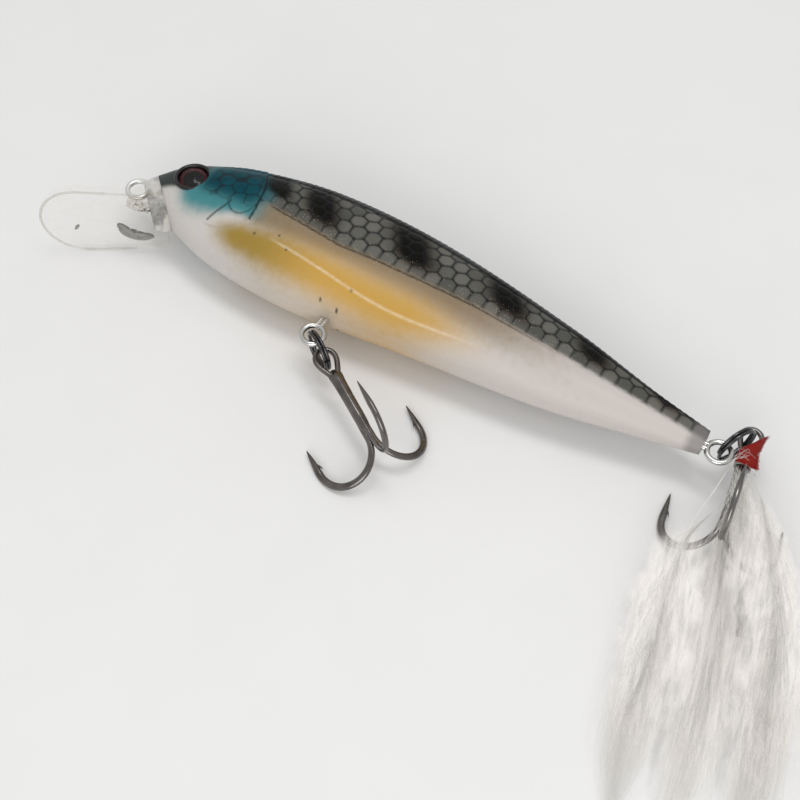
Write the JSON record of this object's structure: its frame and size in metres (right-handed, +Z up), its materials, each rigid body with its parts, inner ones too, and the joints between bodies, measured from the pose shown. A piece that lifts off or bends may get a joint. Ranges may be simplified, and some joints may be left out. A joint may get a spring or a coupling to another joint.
{
  "type": "crankbait lure",
  "caption": "Slim minnow-shaped diving lure with a clear lip, line tie, hinged treble hooks on split rings and a feather-dressed tail hook.",
  "frame": {"origin": "centre of the lure's box at table level; the lure lies on its right flank", "axes": "+X runs from nose to tail, +Y towards the back, +Z up out of the left flank"},
  "size_m": [0.1446, 0.0706, 0.0161],
  "materials": {
    "painted_body": "pearl paint under clear gloss, dark scaled back, yellow flank",
    "clear_lip": "clear polycarbonate",
    "bright_wire": "drawn stainless wire",
    "eye_foil": "dark red foil with black pupil",
    "eye_lens": "clear glossy dome",
    "black_ring": "black nickel",
    "hook_steel": "gunmetal nickel plate",
    "thread": "wound tying thread",
    "red_floss": "frayed floss",
    "feather": "soft white marabou",
    "ballast_steel": "plain steel"
  },
  "bodies": {
    "lure_body": {"body_half_left": "painted_body", "body_half_right": "painted_body", "diving_lip": "clear_lip", "line_tie": "bright_wire", "belly_hanger": "bright_wire", "tail_hanger": "bright_wire", "left_eye_disc": "eye_foil", "left_eye_lens": "eye_lens", "right_eye_disc": "eye_foil", "right_eye_lens": "eye_lens", "chin_ballast": "ballast_steel", "belly_ballast": "ballast_steel"},
    "belly_ring": {"belly_split_ring": "black_ring"},
    "belly_treble": {"belly_treble_double": "hook_steel", "belly_treble_third": "hook_steel"},
    "tail_ring": {"tail_split_ring": "black_ring"},
    "tail_treble": {"tail_treble_double": "hook_steel", "tail_treble_third": "hook_steel", "thread_binding": "thread", "red_tuft": "red_floss", "feather_left": "feather", "feather_middle": "feather", "feather_right": "feather"},
    "front_ball": {"casting_ball_front": "ballast_steel"},
    "middle_ball": {"casting_ball_middle": "ballast_steel"},
    "rear_ball": {"casting_ball_rear": "ballast_steel"}
  },
  "joints": [
    {"name": "belly_ring_swing", "type": "hinge", "parent": "lure_body", "child": "belly_ring", "pos_m": [-0.0205, 0.01005, 0.00775], "axis": [0, 0, 1], "range_deg": [-130, 28]},
    {"name": "belly_treble_swing", "type": "hinge", "parent": "belly_ring", "child": "belly_treble", "pos_m": [-0.01892, 0.00906, 0.00559], "axis": [0.5299, 0.848, 0], "range_deg": [-1, 115]},
    {"name": "tail_ring_swing", "type": "hinge", "parent": "lure_body", "child": "tail_ring", "pos_m": [0.0433, 0.02215, 0.00775], "axis": [0, 0, 1], "range_deg": [-35, 40]},
    {"name": "tail_treble_fold", "type": "hinge", "parent": "tail_ring", "child": "tail_treble", "pos_m": [0.0464, 0.02798, 0.00552], "axis": [0, 0, 1], "range_deg": [-1, 160]},
    {"name": "rear_ball_roll", "type": "slide", "parent": "lure_body", "child": "rear_ball", "axis": [1, 0, 0], "range_m": [-0.0153, 0]},
    {"name": "middle_ball_roll", "type": "slide", "parent": "lure_body", "child": "middle_ball", "axis": [1, 0, 0], "range_m": [-0.0153, 0]},
    {"name": "front_ball_roll", "type": "slide", "parent": "lure_body", "child": "front_ball", "axis": [1, 0, 0], "range_m": [-0.0153, 0]}
  ],
  "couplings": [
    {"joint": "middle_ball_roll", "follows": "rear_ball_roll", "ratio": 1},
    {"joint": "front_ball_roll", "follows": "rear_ball_roll", "ratio": 1}
  ]
}
